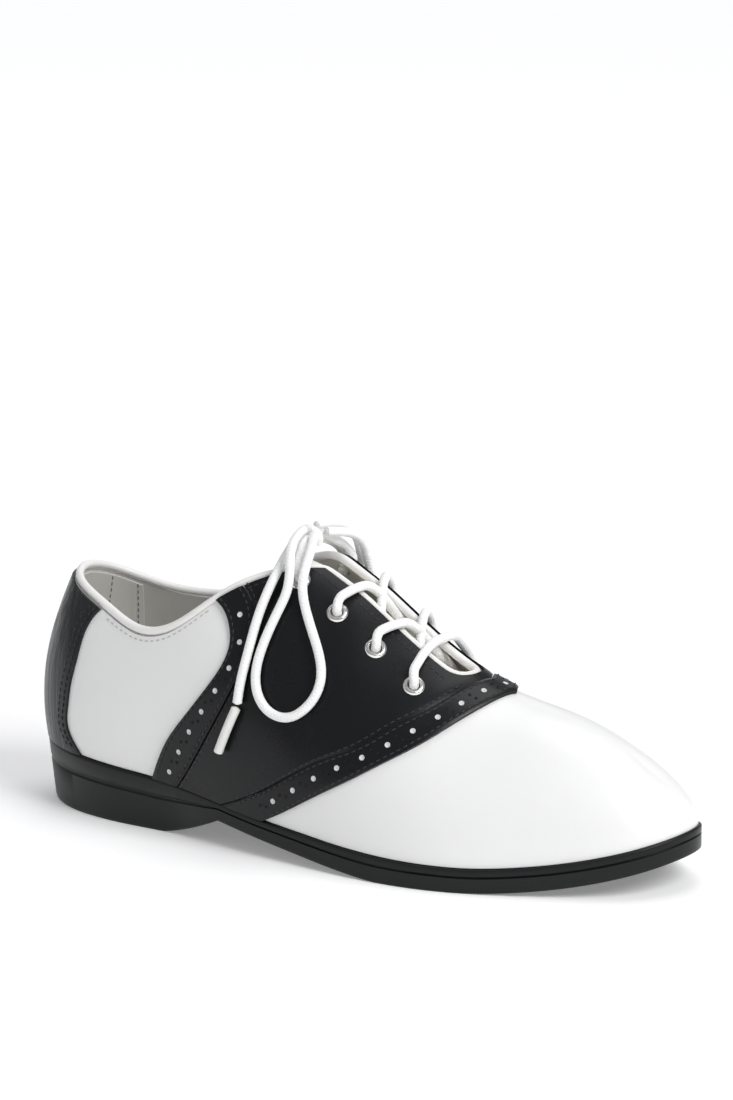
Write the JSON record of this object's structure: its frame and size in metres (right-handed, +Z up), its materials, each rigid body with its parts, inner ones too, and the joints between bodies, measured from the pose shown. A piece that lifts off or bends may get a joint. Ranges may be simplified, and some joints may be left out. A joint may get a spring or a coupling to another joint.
{
  "type": "saddle shoe",
  "caption": "Right lace-up saddle shoe: hollow white upper, black saddle with perforated bands, black heel strip, black sole with a low heel.",
  "frame": {"origin": "on the floor, under the middle of the shoe's bounding box", "axes": "+X to the toe, +Y to the medial side (the shoe is a right one), +Z up"},
  "size_m": [0.2572, 0.0887, 0.1106],
  "materials": {
    "sole": "semi-gloss moulded",
    "insole": "matt lining leather",
    "white_leather": "soft gloss, fine grain",
    "tongue_leather": "soft gloss, creamy white",
    "black_leather": "soft gloss, fine grain",
    "piping": "rolled, soft gloss",
    "eyelet_metal": "bright",
    "lace": "round braided cotton",
    "aglet": "clear, milky"
  },
  "bodies": {
    "root": {"outsole": "sole", "insole": "insole", "upper": "white_leather", "tongue": "tongue_leather", "saddle": "black_leather", "saddle_front_band": "black_leather", "saddle_rear_band_lateral": "black_leather", "saddle_rear_band_medial": "black_leather", "heel_strip": "black_leather", "collar_binding": "piping", "eyelet_lateral_1": "eyelet_metal", "eyelet_lateral_2": "eyelet_metal", "eyelet_lateral_3": "eyelet_metal", "eyelet_lateral_4": "eyelet_metal", "eyelet_medial_1": "eyelet_metal", "eyelet_medial_2": "eyelet_metal", "eyelet_medial_3": "eyelet_metal", "eyelet_medial_4": "eyelet_metal", "lace_bar": "lace", "lace_cross_low": "lace", "lace_cross_high": "lace", "lace_top": "lace", "lace_knot": "lace", "lace_loop_lateral": "lace", "lace_loop_medial": "lace", "lace_end_lateral": "lace", "lace_end_medial": "lace", "aglet_lateral": "aglet", "aglet_medial": "aglet"}
  },
  "joints": []
}
